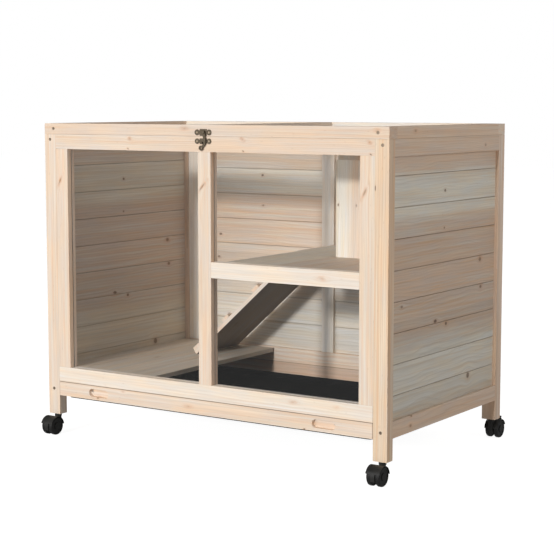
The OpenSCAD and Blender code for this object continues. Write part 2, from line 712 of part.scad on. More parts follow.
// foot lever of the wheel brake, drawn released
module brake_lever(x, y, sy) {
  translate([x, y + sy * lever_y, lever_z]) color(black) {
    xcyl(-9, 9, 0, 0, 1.2);
    translate([-6.7, 0, 0]) rotate([90, 0, 90]) linear_extrude(13.4) union() {
      circle(r = 2);
      rotate(sy > 0 ? 33 : 147) polygon([[0, -0.9], [7.9, -0.9], [8.7, -0.3], [8.7, 0.5], [8, 1.2], [0, 0.9]]);
    }
  }
}
module axle(x, y, sy) {
  color(zinc) xcyl(x - twin_x + 1.6, x + twin_x - 1.6, y + sy * trail, wheel_r, 2.5);
}
// Twin wheel: side = 1 for the wheel on the +X side, -1 for the other
wheel_in = web_x + 0.4;
module wheel(x, y, sy, side) {
  w = twin_x - wheel_in;
  r = wheel_r;
  translate([x, y + sy * trail, wheel_r]) rotate([0, side * 90, 0]) translate([0, 0, wheel_in])
    color(black) difference() {
      rotate_extrude($fn = 96) polygon([[0, 0], [6, 0], [6, 1.2], [r - 4, 1.2], [r - 3.6, 0], [r - 1.6, 0],
        [r - 0.5, 0.5], [r, 1.7], [r, w - 3.4], [r - 0.5, w - 1.9], [r - 1.6, w - 0.8], [r - 3, w - 0.3], [r - 4.2, w - 0.2],
        [r - 4.8, w - 1.3], [9, w - 1.6], [8.4, w - 0.2], [7.6, w], [0, w]]);
      translate([0, 0, -1]) cylinder(h = w - 0.2, r = 2.56);
    }
}
module front_left_caster_fork() { fork(-cx, cyf, -1); }
module front_right_caster_fork() { fork(cx, cyf, -1); }
module rear_left_caster_fork() { fork(-cx, cyr, 1, true); }
module rear_right_caster_fork() { fork(cx, cyr, 1, true); }
module front_left_caster_axle() { axle(-cx, cyf, -1); }
module front_right_caster_axle() { axle(cx, cyf, -1); }
module rear_left_caster_axle() { axle(-cx, cyr, 1); }
module rear_right_caster_axle() { axle(cx, cyr, 1); }
module front_left_outer_wheel() { wheel(-cx, cyf, -1, -1); }
module front_left_inner_wheel() { wheel(-cx, cyf, -1, 1); }
module front_right_outer_wheel() { wheel(cx, cyf, -1, 1); }
module front_right_inner_wheel() { wheel(cx, cyf, -1, -1); }
module rear_left_outer_wheel() { wheel(-cx, cyr, 1, -1); }
module rear_left_inner_wheel() { wheel(-cx, cyr, 1, 1); }
module rear_right_outer_wheel() { wheel(cx, cyr, 1, 1); }
module rear_right_inner_wheel() { wheel(cx, cyr, 1, -1); }
module rear_left_brake_lever() { brake_lever(-cx, cyr, 1); }
module rear_right_brake_lever() { brake_lever(cx, cyr, 1); }

front_left_leg();
front_right_leg();
rear_left_leg();
rear_right_leg();
front_top_rail();
front_bottom_rail();
front_left_stile();
front_right_stile();
front_mid_stile();
shelf_front_rail();
left_side_rails();
right_side_rails();
left_wall_boards();
right_wall_boards();
back_rails();
back_stiles();
back_wall_boards();
upper_shelf();
nook_wall();
low_platform();
floor_bearers();
ramp_board();
ramp_cleats();
front_windows();
tray_runners();
frame_screws();
drawer_front();
litter_tray();
tray_screws();
lid_front_rail();
lid_rear_rail();
lid_side_rails();
lid_mid_rail();
lid_windows();
lid_screws();
hinge_frame_leaves();
hinge_lid_leaves();
hinge_pins();
latch_plate();
latch_hook();
latch_keeper();
caster_stems();
front_left_caster_fork();
front_left_caster_axle();
front_left_outer_wheel();
front_left_inner_wheel();
front_right_caster_fork();
front_right_caster_axle();
front_right_outer_wheel();
front_right_inner_wheel();
rear_left_caster_fork();
rear_left_caster_axle();
rear_left_outer_wheel();
rear_left_inner_wheel();
rear_right_caster_fork();
rear_right_caster_axle();
rear_right_outer_wheel();
rear_right_inner_wheel();
rear_left_brake_lever();
rear_right_brake_lever();
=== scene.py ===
import math

import bpy
import bmesh
from mathutils import Vector, Matrix

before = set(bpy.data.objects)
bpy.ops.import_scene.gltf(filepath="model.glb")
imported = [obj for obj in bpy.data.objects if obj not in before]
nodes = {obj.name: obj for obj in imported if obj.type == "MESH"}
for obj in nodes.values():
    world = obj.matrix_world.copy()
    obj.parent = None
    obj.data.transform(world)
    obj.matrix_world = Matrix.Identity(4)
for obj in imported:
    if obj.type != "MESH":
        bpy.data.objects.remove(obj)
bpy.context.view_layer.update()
scene = bpy.context.scene


# ------------------------------------------------------------------ camera
def make_camera():
    data = bpy.data.cameras.new("camera")
    cam = bpy.data.objects.new("camera", data)
    scene.collection.objects.link(cam)
    data.sensor_fit = "AUTO"
    data.sensor_width = 36.0
    data.lens = 98.22
    data.clip_start, data.clip_end = 0.05, 60.0
    data.dof.use_dof = False
    cam.location = (1.94074, -2.89951, 0.77770)
    cam.rotation_euler = (math.radians(90.0 - 6.587), 0.0, math.radians(33.633))
    scene.camera = cam


make_camera()


# ------------------------------------------------------------------ node helpers
class Tree:
    """Short calls that add shader nodes to one node tree."""

    def __init__(self, tree):
        self.t = tree
        self.x = 0

    def node(self, kind, **props):
        n = self.t.nodes.new(kind)
        self.x += 40
        n.location = (self.x, 0)
        for k, v in props.items():
            setattr(n, k, v)
        return n

    def put(self, socket, value):
        if isinstance(value, bpy.types.NodeSocket):
            self.t.links.new(value, socket)
        elif value is not None:
            socket.default_value = value

    def math(self, op, a, b=None, c=None, clamp=False):
        n = self.node("ShaderNodeMath", operation=op, use_clamp=clamp)
        for i, v in enumerate((a, b, c)):
            if v is not None:
                self.put(n.inputs[i], v)
        return n.outputs[0]

    def add(self, a, b):
        return self.math("ADD", a, b)

    def sub(self, a, b):
        return self.math("SUBTRACT", a, b)

    def mul(self, a, b):
        return self.math("MULTIPLY", a, b)

    def mad(self, a, b, c):
        return self.math("MULTIPLY_ADD", a, b, c)

    def step(self, v, lo, hi, a=0.0, b=1.0, smooth=True):
        n = self.node("ShaderNodeMapRange", interpolation_type="SMOOTHSTEP" if smooth else "LINEAR")
        for i, s in enumerate((v, lo, hi, a, b)):
            self.put(n.inputs[i], s)
        return n.outputs[0]

    def xyz(self, x, y, z):
        n = self.node("ShaderNodeCombineXYZ")
        for i, v in enumerate((x, y, z)):
            self.put(n.inputs[i], v)
        return n.outputs[0]

    def split(self, v):
        n = self.node("ShaderNodeSeparateXYZ")
        self.put(n.inputs[0], v)
        return n.outputs

    def vec(self, op, a, b=None, scale=None):
        n = self.node("ShaderNodeVectorMath", operation=op)
        self.put(n.inputs[0], a)
        if b is not None:
            self.put(n.inputs[1], b)
        if scale is not None:
            self.put(n.inputs["Scale"], scale)
        return n.outputs["Value"] if op in ("LENGTH", "DISTANCE", "DOT_PRODUCT") else n.outputs["Vector"]

    def noise(self, v, scale=1.0, detail=2.0, rough=0.5, distort=0.0, dim="3D", w=None):
        n = self.node("ShaderNodeTexNoise", noise_dimensions=dim)
        if v is not None:
            self.put(n.inputs["Vector"], v)
        if w is not None:
            self.put(n.inputs["W"], w)
        n.inputs["Scale"].default_value = scale
        n.inputs["Detail"].default_value = detail
        n.inputs["Roughness"].default_value = rough
        n.inputs["Distortion"].default_value = distort
        return n.outputs["Fac"] if "Fac" in n.outputs else n.outputs[0]

    def white(self, w):
        n = self.node("ShaderNodeTexWhiteNoise", noise_dimensions="1D")
        self.put(n.inputs["W"], w)
        return n.outputs["Value"]

    def white_rgb(self, w):
        n = self.node("ShaderNodeTexWhiteNoise", noise_dimensions="1D")
        self.put(n.inputs["W"], w)
        return n.outputs["Color"]

    def mix(self, fac, a, b, blend="MIX", clamp=True):
        n = self.node("ShaderNodeMix", data_type="RGBA", blend_type=blend, clamp_factor=True)
        self.put(n.inputs[0], fac)
        for i, v in ((6, a), (7, b)):
            if isinstance(v, tuple) and len(v) == 3:
                v = (*v, 1.0)
            self.put(n.inputs[i], v)
        return n.outputs[2]

    def mixv(self, fac, a, b):
        n = self.node("ShaderNodeMix", data_type="VECTOR", clamp_factor=True)
        self.put(n.inputs[0], fac)
        self.put(n.inputs[4], a)
        self.put(n.inputs[5], b)
        return n.outputs[1]

    def mixf(self, fac, a, b):
        n = self.node("ShaderNodeMix", data_type="FLOAT", clamp_factor=True)
        self.put(n.inputs[0], fac)
        self.put(n.inputs[2], a)
        self.put(n.inputs[3], b)
        return n.outputs[0]

    def ramp(self, v, stops, interp="LINEAR"):
        n = self.node("ShaderNodeValToRGB")
        n.color_ramp.interpolation = interp
        e = n.color_ramp.elements
        while len(e) < len(stops):
            e.new(0.5)
        for i, (p, c) in enumerate(stops):
            e[i].position = p
            e[i].color = (c, c, c, 1.0) if isinstance(c, float) else (*c, 1.0)
        self.put(n.inputs[0], v)
        return n.outputs["Color"]

    def group(self, tree, **inputs):
        n = self.node("ShaderNodeGroup")
        n.node_tree = tree
        for k, v in inputs.items():
            if isinstance(v, tuple) and len(v) == 3 and n.inputs[k].type == "RGBA":
                v = (*v, 1.0)
            self.put(n.inputs[k], v)
        return n.outputs


def new_group(name, ins, outs):
    g = bpy.data.node_groups.new(name, "ShaderNodeTree")
    kinds = {"f": "NodeSocketFloat", "v": "NodeSocketVector", "c": "NodeSocketColor"}
    for n, k in ins:
        g.interface.new_socket(n, in_out="INPUT", socket_type=kinds[k])
    for n, k in outs:
        g.interface.new_socket(n, in_out="OUTPUT", socket_type=kinds[k])
    i = g.nodes.new("NodeGroupInput")
    o = g.nodes.new("NodeGroupOutput")
    return g, Tree(g), i.outputs, o.inputs


# ------------------------------------------------------------------ wood
# Distance from one knot, in units of its own half-sizes, and how far it pushes the grain aside.
def knot_group():
    g, t, i, o = new_group(
        "knot",
        [("L", "f"), ("W", "f"), ("L0", "f"), ("W0", "f"), ("RL", "f"), ("RW", "f"), ("Wobble", "f")],
        [("R", "f"), ("Push", "f")],
    )
    dl = t.math("DIVIDE", t.sub(i["L"], i["L0"]), i["RL"])
    dw_mm = t.sub(i["W"], i["W0"])
    dw = t.math("DIVIDE", dw_mm, i["RW"])
    r2 = t.add(t.mul(dl, dl), t.mul(dw, dw))
    r = t.math("SQRT", r2)
    t.put(o["R"], t.add(r, t.mul(i["Wobble"], 0.55)))
    # the grain spreads round the knot, further along the grain than across it
    far = t.add(t.mul(t.mul(dl, dl), 0.16), t.mul(t.mul(dw, dw), 0.22))
    t.put(o["Push"], t.mul(dw_mm, t.math("EXPONENT", t.mul(far, -1.0))))
    return g


KNOT = knot_group()


# Small knots scattered over boards: about one in a cell of 260 x 64 mm, and most cells stay empty.
def scatter_group():
    g, t, i, o = new_group(
        "scattered_knots",
        [("L", "f"), ("W", "f"), ("Seed", "f"), ("Share", "f"), ("Size", "f"), ("Wobble", "f")],
        [("R", "f"), ("Push", "f"), ("Dark", "f")],
    )
    cl, cw = 210.0, 64.4
    v = t.xyz(t.mad(i["Seed"], 13.7, t.mul(i["L"], 1 / cl)), t.mad(i["Seed"], 7.31, t.mul(i["W"], 1 / cw)), 0.0)
    n = t.node("ShaderNodeTexVoronoi", voronoi_dimensions="2D", feature="F1")
    n.inputs["Scale"].default_value = 1.0
    n.inputs["Randomness"].default_value = 0.85
    t.put(n.inputs["Vector"], v)
    d = t.split(t.vec("SUBTRACT", v, n.outputs["Position"]))
    c = t.node("ShaderNodeSeparateColor")
    t.put(c.inputs[0], n.outputs["Color"])
    there = t.math("LESS_THAN", c.outputs[0], i["Share"])
    size = t.mul(t.mad(c.outputs[1], 0.8, 0.6), i["Size"])
    dl = t.mul(d[0], cl)
    dw = t.mul(d[1], cw)
    a = t.math("DIVIDE", dl, t.mul(size, 1.5))
    b = t.math("DIVIDE", dw, size)
    r = t.math("SQRT", t.add(t.mul(a, a), t.mul(b, b)))
    r = t.add(r, t.mul(t.sub(1.0, there), 50.0))
    t.put(o["R"], t.add(r, t.mul(i["Wobble"], 0.55)))
    far = t.add(t.mul(t.mul(a, a), 0.16), t.mul(t.mul(b, b), 0.22))
    t.put(o["Push"], t.mul(t.mul(dw, there), t.math("EXPONENT", t.mul(far, -1.0))))
    t.put(o["Dark"], c.outputs[2])
    return g


SCATTER = scatter_group()


# Sawn pine. L runs along the grain, W across the face and T through the thickness, in mm.
def pine_group():
    g, t, i, o = new_group(
        "pine",
        [
            ("L", "f"), ("W", "f"), ("T", "f"), ("Seed", "f"),
            ("Base", "c"), ("Late", "c"), ("Warm", "c"), ("Pale", "c"),
            ("Pitch", "f"), ("Lines", "f"), ("Streaks", "f"),
            ("KnotCore", "f"), ("KnotHalo", "f"), ("Push", "f"),
        ],
        [("Color", "c"), ("Height", "f"), ("Rough", "f")],
    )
    L, T = i["L"], i["T"]
    W = t.sub(i["W"], i["Push"])
    s = i["Seed"]
    rnd = t.node("ShaderNodeSeparateColor")
    t.put(rnd.inputs[0], t.white_rgb(t.mad(s, 1.37, 0.21)))
    r1, r2, r3 = rnd.outputs[0], rnd.outputs[1], rnd.outputs[2]
    off = t.mul(s, 61.7)

    # slow wander of the grain along the board
    slow = t.noise(t.xyz(t.add(t.mul(L, 1 / 260), off), t.mul(W, 1 / 90), t.mul(T, 1 / 90)), 1.0, 2.0, 0.5)
    slow = t.sub(slow, 0.5)
    quick = t.noise(t.xyz(t.add(t.mul(L, 1 / 70), off), t.mul(W, 1 / 18), t.mul(T, 1 / 18)), 1.0, 2.0, 0.5)
    quick = t.sub(quick, 0.5)

    # growth rings round a heart that lies beside or below the board and leans a little
    hw = t.add(t.mad(r1, 90.0, -45.0), t.mul(L, t.mad(r2, 0.02, -0.01)))
    ht = t.add(t.mad(r3, -55.0, -14.0), t.mul(L, t.mad(r1, 0.012, -0.006)))
    dw = t.add(t.sub(W, hw), t.mul(slow, 26.0))
    dt = t.add(t.sub(T, ht), t.mul(slow, 12.0))
    rad = t.math("SQRT", t.add(t.mul(dw, dw), t.mul(dt, dt)))
    rad = t.add(rad, t.mul(quick, 1.6))
    ring = t.math("DIVIDE", rad, i["Pitch"])
    ring = t.add(ring, t.mul(slow, 0.9))
    fr = t.math("FRACT", ring)
    idx = t.math("FLOOR", ring)
    strength = t.mad(t.white(t.add(idx, t.mul(s, 3.1))), 0.75, 0.35)
    late = t.ramp(fr, [(0.0, 0.12), (0.35, 0.05), (0.72, 0.45), (0.90, 1.0), (0.97, 0.85), (1.0, 0.12)], "B_SPLINE")
    late = t.mul(late, strength)

    # fibres: long thin streaks at two widths
    fib = t.noise(t.xyz(t.add(t.mul(L, 1 / 45), off), t.mul(W, 1 / 1.5), t.mul(T, 1 / 1.5)), 1.0, 3.0, 0.6)
    fib = t.sub(fib, 0.5)
    band = t.noise(t.xyz(t.add(t.mul(L, 1 / 380), t.mul(off, 1.3)), t.mul(W, 1 / 6.0), t.mul(T, 1 / 14)), 1.0, 2.0, 0.55)
    band2 = t.noise(t.xyz(t.add(t.mul(L, 1 / 460), t.mul(off, 2.1)), t.mul(W, 1 / 8.0), t.mul(T, 1 / 20)), 1.0, 2.0, 0.55)
    mid = t.noise(t.xyz(t.add(t.mul(L, 1 / 210), t.mul(off, 1.7)), t.mul(W, 1 / 3.4), t.mul(T, 1 / 5)), 1.0, 2.0, 0.5)
    broad = t.noise(t.xyz(t.add(t.mul(L, 1 / 300), t.mul(off, 0.7)), t.mul(W, 1 / 45), t.mul(T, 1 / 60)), 1.0, 2.0, 0.5)

    col = i["Base"]
    col = t.mix(t.mul(t.step(band, 0.46, 0.66), i["Streaks"]), col, i["Warm"])
    col = t.mix(t.mul(t.step(band2, 0.48, 0.66), i["Streaks"]), col, i["Pale"])
    col = t.mix(t.mul(t.step(broad, 0.38, 0.68), t.mul(i["Streaks"], 0.4)), col, i["Warm"])
    col = t.mix(t.mul(late, i["Lines"]), col, i["Late"])
    shade = t.add(1.0, t.mul(fib, 0.16))
    shade = t.add(shade, t.mul(t.sub(broad, 0.5), 0.10))
    shade = t.add(shade, t.mul(t.mul(t.sub(mid, 0.5), i["Streaks"]), 0.30))
    col = t.mix(1.0, col, t.xyz(shade, shade, shade), "MULTIPLY")

    # faint patches of another hue
    patch = t.noise(t.xyz(t.add(t.mul(L, 1 / 95), t.mul(off, 0.9)), t.mul(W, 1 / 24), t.mul(T, 1 / 30)), 1.0, 2.0, 0.5)
    hue = t.mix(t.step(patch, 0.34, 0.66), (1.03, 1.005, 0.965), (0.975, 0.995, 1.03))
    col = t.mix(1.0, col, hue, "MULTIPLY")

    # resin canals: short dark dashes, few and faint
    v = t.node("ShaderNodeTexVoronoi", voronoi_dimensions="3D", feature="F1")
    v.inputs["Scale"].default_value = 1.0
    t.put(v.inputs["Vector"], t.xyz(t.add(t.mul(L, 1 / 26), off), t.mul(W, 1 / 4.2), t.mul(T, 1 / 4.2)))
    vc = t.node("ShaderNodeSeparateColor")
    t.put(vc.inputs[0], v.outputs["Color"])
    dash = t.mul(t.step(v.outputs["Distance"], 0.16, 0.06), t.math("LESS_THAN", vc.outputs[0], 0.30))
    col = t.mix(t.mul(dash, 0.28), col, (0.36, 0.20, 0.10))

    # knots
    col = t.mix(i["KnotHalo"], col, t.mix(1.0, col, (0.86, 0.60, 0.44), "MULTIPLY"))
    col = t.mix(i["KnotCore"], col, (0.130, 0.066, 0.034))

    h = t.mul(late, 0.30)
    h = t.add(h, t.mul(fib, 0.55))
    h = t.sub(h, t.mul(dash, 0.5))
    h = t.add(h, t.mul(i["KnotCore"], 0.5))
    t.put(o["Color"], col)
    t.put(o["Height"], h)
    rough = t.add(0.60, t.mul(fib, 0.30))
    rough = t.sub(rough, t.mul(late, 0.08))
    rough = t.sub(rough, t.mul(i["KnotCore"], 0.18))
    t.put(o["Rough"], rough)
    return g


PINE = pine_group()

# base, latewood line, warm streak, pale streak: linear colours
def palette(base, late, warm, pale):
    return dict(base=base, late=late, warm=warm, pale=pale)


def tinted(pal, r, g, b):
    return {k: (min(v[0] * r, 0.92), min(v[1] * g, 0.90), min(v[2] * b, 0.88)) for k, v in pal.items()}


FRONT = palette((0.820, 0.680, 0.550), (0.700, 0.500, 0.350), (0.815, 0.595, 0.425), (0.845, 0.750, 0.650))
CREAM = palette((0.885, 0.780, 0.660), (0.775, 0.600, 0.450), (0.880, 0.720, 0.570), (0.900, 0.830, 0.745))
LEG_R = palette((0.840, 0.675, 0.505), (0.700, 0.480, 0.310), (0.830, 0.575, 0.375), (0.860, 0.745, 0.615))
LID_IN = palette((0.790, 0.650, 0.530), (0.660, 0.480, 0.350), (0.760, 0.560, 0.400), (0.810, 0.710, 0.610))
SIDE = palette((0.720, 0.560, 0.435), (0.540, 0.370, 0.255), (0.700, 0.485, 0.330), (0.740, 0.620, 0.510))
REAR_LEG = palette((0.790, 0.640, 0.520), (0.600, 0.430, 0.310), (0.760, 0.550, 0.400), (0.810, 0.700, 0.600))
# painted light: a near-white palette for the back corner posts, so that they read as lit in the shaded rear corners
CORNER_LIT = palette((0.950, 0.900, 0.820), (0.830, 0.740, 0.650), (0.930, 0.830, 0.720), (0.950, 0.920, 0.870))
BOARD = palette((0.700, 0.555, 0.440), (0.510, 0.355, 0.250), (0.700, 0.490, 0.330), (0.725, 0.640, 0.535))
WHITE = palette((0.690, 0.645, 0.550), (0.500, 0.440, 0.355), (0.660, 0.560, 0.430), (0.740, 0.710, 0.630))


def object_mm(t):
    """Sockets for x, y and z of the surface point in the part's own frame, in mm."""
    tc = t.node("ShaderNodeTexCoord")
    s = t.vec("SCALE", tc.outputs["Object"], scale=1000.0)
    return t.split(s)


def wood(name, coords, pal, seed=0.0, pitch=4.2, lines=0.42, streaks=0.75, knots=(), scatter=None, bands=None, seams=None,
         white=WHITE, tints=(), slant=0.0):
    """A pine material. coords(t, x, y, z) returns the sockets L, W, T and the board's own seed.

    knots: (L, W, half-length, half-width, core 0-1, halo 0-1). scatter: (share, size).
    bands: (socket picker, [(z, share of white board)]) fades between two palettes along one axis.
    seams: (first, pitch, last) across W: the grooves are darkened with painted shade.
    tints: (axis, from, to, colour factor) for end grain, and for painted light and shade on chosen faces and gaps;
    a fifth number keeps the tint in front of that y.
    slant: how far the knots lean across the board per unit along it."""
    m = bpy.data.materials.new(name)
    m.use_nodes = True
    t = Tree(m.node_tree)
    t.t.nodes.clear()
    x, y, z = object_mm(t)
    L, W, T, own = coords(t, x, y, z)
    sd = t.add(own, float(seed)) if isinstance(own, bpy.types.NodeSocket) else float(own + seed)
    wob = t.sub(t.noise(t.xyz(t.mul(L, 1 / 9), t.mul(W, 1 / 6), t.mul(T, 1 / 9)), 1.0, 2.0, 0.5), 0.5)
    core, halo, push = None, None, None

    def take(r, p, kc, kh, dark=None):
        nonlocal core, halo, push
        c = t.step(r, 0.95, 0.50)
        # growth rings inside the knot
        c = t.mul(c, t.mad(t.math("SINE", t.mul(r, 19.0)), 0.12, 0.86))
        c = t.mul(c, kc) if dark is None else t.mul(c, t.mul(dark, kc))
        # uneven warm stain round it, with faint rings
        h = t.mul(t.step(r, 2.5, 0.1), kh)
        h = t.mul(h, t.mad(wob, 2.4, 0.80))
        h = t.mul(h, t.mad(t.math("SINE", t.mul(r, 7.5)), 0.22, 0.85))
        core = c if core is None else t.math("MAXIMUM", core, c)
        halo = h if halo is None else t.math("MAXIMUM", halo, h)
        push = p if push is None else t.add(push, p)

    for (l0, w0, rl, rw, kc, kh) in knots:
        Wk = t.sub(W, t.mul(t.sub(L, float(l0)), slant)) if slant else W
        out = t.group(KNOT, L=L, W=Wk, L0=float(l0), W0=float(w0), RL=float(rl), RW=float(rw), Wobble=wob)
        take(out["R"], out["Push"], kc, kh)
    if scatter:
        out = t.group(SCATTER, L=L, W=W, Seed=sd, Share=float(scatter[0]), Size=float(scatter[1]), Wobble=wob)
        take(out["R"], out["Push"], 0.9, 0.32, out["Dark"])
    if core is None:
        core = halo = push = 0.0

    if bands:
        axis, stops = bands
        ax = {"x": x, "y": y, "z": z}[axis]
        edge = t.noise(t.xyz(t.mul(L, 1 / 240), t.mul(W, 1 / 20), 0.0), 1.0, 3.0, 0.6)
        pos = t.add(ax, t.mad(edge, 26.0, -13.0))
        lo, hi = stops[0][0], stops[-1][0]
        fac = t.ramp(t.step(pos, lo, hi, smooth=False), [((p - lo) / (hi - lo), float(v)) for p, v in stops])
        cols = {k: t.mix(fac, pal[k], white[k]) for k in pal}
    else:
        cols = pal
    out = t.group(
        PINE, L=L, W=W, T=T, Seed=sd, Base=cols["base"], Late=cols["late"], Warm=cols["warm"], Pale=cols["pale"],
        Pitch=float(pitch), Lines=float(lines), Streaks=float(streaks), KnotCore=core, KnotHalo=halo, Push=push,
    )
    col = out["Color"]
    # each board has its own tone
    tone = t.white(t.mad(sd, 2.71, 0.4)) if isinstance(sd, bpy.types.NodeSocket) else None
    if tone is not None:
        k = t.mad(tone, 0.10, 0.95)
        col = t.mix(1.0, col, t.xyz(k, k, k), "MULTIPLY")
    if seams:
        first, p, last = seams
        d = t.math("ABSOLUTE", t.math("PINGPONG", t.sub(W, first), p / 2.0))
        # painted shade: darker lines along the grooves between boards
        groove_shade = t.mul(t.step(d, 1.3, 0.35), t.math("LESS_THAN", W, last))
        col = t.mix(t.mul(groove_shade, 0.40), col, (0.20, 0.115, 0.065))
    # end grain colour, and painted light and shade on chosen faces and gaps
    for (axis, lo, hi, rgb, *front_of) in tints:
        v = {"x": x, "y": y, "z": z, "T": T}[axis]
        there = t.mul(t.step(v, lo - 0.25, lo + 0.25), t.step(v, hi + 0.25, hi - 0.25))
        if front_of:
            there = t.mul(there, t.step(y, front_of[0] + 0.25, front_of[0] - 0.25))
        col = t.mix(there, col, t.mix(1.0, col, rgb, "MULTIPLY"))
    b = t.node("ShaderNodeBsdfPrincipled")
    b.inputs["Specular IOR Level"].default_value = 0.32
    b.inputs["IOR"].default_value = 1.45
    t.put(b.inputs["Base Color"], col)
    t.put(b.inputs["Roughness"], out["Rough"])
    bump = t.node("ShaderNodeBump")
    bump.inputs["Strength"].default_value = 0.55
    bump.inputs["Distance"].default_value = 0.00035
    t.put(bump.inputs["Height"], out["Height"])
    t.put(b.inputs["Normal"], bump.outputs[0])
    o = t.node("ShaderNodeOutputMaterial")
    t.t.links.new(b.outputs[0], o.inputs[0])
    return m


def put(material, *names):
    for n in names:
        o = nodes[n]
        o.data.materials.clear()
        o.data.materials.append(material)
        o.data.polygons.foreach_set("material_index", [0] * len(o.data.polygons))


def index(t, w, first, pitch):
    return t.math("FLOOR", t.math("DIVIDE", t.sub(w, first), pitch))


def along_x(t, x, y, z):
    return x, z, y, 0.0


def along_z(t, x, y, z):
    return z, x, y, 0.0


def along_y(t, x, y, z):
    return y, z, x, 0.0


# painted shade: the part of a front member behind the window groove (y above -252.5) is tinted cooler
INSIDE_SHADE = (("y", -252.5, 0.0, (0.98, 1.02, 1.08)),)


def INNER_LIGHT_SHADE(x):
    """Painted light and shade for a stile whose inner side face is at x: that face is made lighter, and the part behind
    the window groove darker and cooler.
    """
    return (("x", x - 0.2, x + 0.2, (1.32, 1.27, 1.24)), ("y", -252.5, 0.0, (0.84, 0.88, 0.93)))


# painted shade: the right leg's outer side face is darker and browner than its front
SIDE_SHADE = (0.90, 0.86, 0.83)
END_GRAIN = (0.86, 0.78, 0.72)
# painted shade in the narrow gaps round the drawer: the rail's lower edge, the drawer's top edge and their right ends
GAP_SHADE = (0.62, 0.55, 0.50)

# legs and front frame
# painted light and shade on the front frame: the parts behind the window groove are cooler, the stiles' inner side
# faces lighter, the right leg's outer side face darker, and the edges round the drawer darker
put(wood("pine_leg_fl", along_z, FRONT, 1.0, 4.4, 0.50, 0.85), "front_left_leg")
put(wood("pine_leg_fr", along_z, LEG_R, 2.0, 5.0, 0.50, 1.0, knots=[(607, 426, 7, 1.5, 0.9, 0.3)], tints=(("x", 456.9, 500.0, SIDE_SHADE),)), "front_right_leg")
put(wood("pine_stile_l", along_z, FRONT, 3.0, 4.4, 0.50, 0.80, knots=[(598, -413, 10, 3.2, 0.45, 0.80)], slant=0.45,
         tints=INNER_LIGHT_SHADE(-390.0)), "front_left_stile")
put(wood("pine_stile_m", along_z, FRONT, 3.0, 4.4, 0.50, 0.80, knots=[(596, -6, 10, 3.6, 0.50, 0.85)], slant=0.8,
         tints=INNER_LIGHT_SHADE(17.0)), "front_mid_stile")
put(wood("pine_stile_r", along_z, tinted(FRONT, 1.01, 1.04, 1.06), 3.0, 4.4, 0.50, 0.85, knots=[(597, 401, 10, 3.2, 0.40, 0.85)], slant=0.45, tints=INSIDE_SHADE), "front_right_stile")
put(wood("pine_top_rail", along_x, tinted(FRONT, 0.975, 0.97, 0.97), 5.0, 4.0, 0.48, 0.80, knots=[
    (-205, 697, 5, 3.6, 0.15, 0.75), (-210, 675, 3, 1.8, 0.80, 0.5), (101, 700, 5, 3.6, 0.15, 0.75), (103, 675, 3, 1.8, 0.80, 0.5),
    (412, 698, 5, 3.2, 0.15, 0.7), (415, 674, 3, 1.8, 0.80, 0.5)], tints=INSIDE_SHADE, slant=-0.4), "front_top_rail")
put(wood("pine_bottom_rail", along_x, CREAM, 6.0, 4.0, 0.45, 0.75, knots=[(229, 149, 10, 3.4, 0.1, 0.6), (336, 150, 6, 3, 0.0, 0.4)],
         tints=INSIDE_SHADE + (("z", 120.0, 127.6, GAP_SHADE), ("x", 423.4, 430.0, GAP_SHADE))), "front_bottom_rail")
put(wood("pine_shelf_rail", along_x, CREAM, 7.0, 4.0, 0.45, 0.75, knots=[(301, 416, 11, 4.5, 0.1, 0.55)], tints=INSIDE_SHADE), "shelf_front_rail")
put(wood("pine_drawer", along_x, FRONT, 8.0, 4.2, 0.45, 0.85, knots=[
    (-308, 99, 3.5, 2.0, 0.9, 0.6), (-48, 109, 9, 3.4, 0.1, 0.6), (258, 95, 3.5, 1.8, 0.85, 0.5), (-233, 122, 5, 2.4, 0.1, 0.45)],
         tints=(("z", 125.7, 130.0, GAP_SHADE), ("x", 422.6, 430.0, GAP_SHADE))), "drawer_front")
put(wood("pine_lid_front", along_x, tinted(FRONT, 0.955, 0.955, 0.965), 9.0, 4.2, 0.48, 0.80, knots=[(-52, 722, 8, 3.4, 0.1, 0.7), (429, 722, 5, 3.2, 0.1, 0.8)],
         tints=(("x", 456.9, 500.0, END_GRAIN), ("x", -500.0, -456.9, END_GRAIN))), "lid_front_rail")
# painted light: the lid rear rail's palette is made lighter so that its front face reads as fully lit
put(wood("pine_lid_rear", along_x, tinted(LID_IN, 1.20, 1.28, 1.36), 10.0, 4.2, 0.40, 0.80, scatter=(0.2, 4.0),
         tints=(("x", 456.9, 500.0, END_GRAIN), ("x", -500.0, -456.9, END_GRAIN))), "lid_rear_rail")


def lid_sides(t, x, y, z):
    outer = t.math("GREATER_THAN", t.math("ABSOLUTE", x), 457.0)
    return y, t.mixf(outer, x, z), t.mixf(outer, z, x), t.math("GREATER_THAN", x, 0.0)


put(wood("pine_lid_sides", lid_sides, SIDE, 11.0, 4.2, 0.42, 0.85, knots=[(-158, 720, 6, 3.5, 0.35, 0.5)], scatter=(0.15, 3.5)), "lid_side_rails")
put(wood("pine_lid_mid", lambda t, x, y, z: (y, x, z, 0.0), LID_IN, 13.0, 4.2, 0.40, 0.8), "lid_mid_rail")


# rails along Y with an upright batten at the back end
def side_rails(t, x, y, z):
    up = t.math("GREATER_THAN", y, 238.0)
    high = t.math("GREATER_THAN", z, 400.0)
    return t.mixf(up, y, z), t.mixf(up, z, y), x, t.add(t.mul(up, 5.0), high)


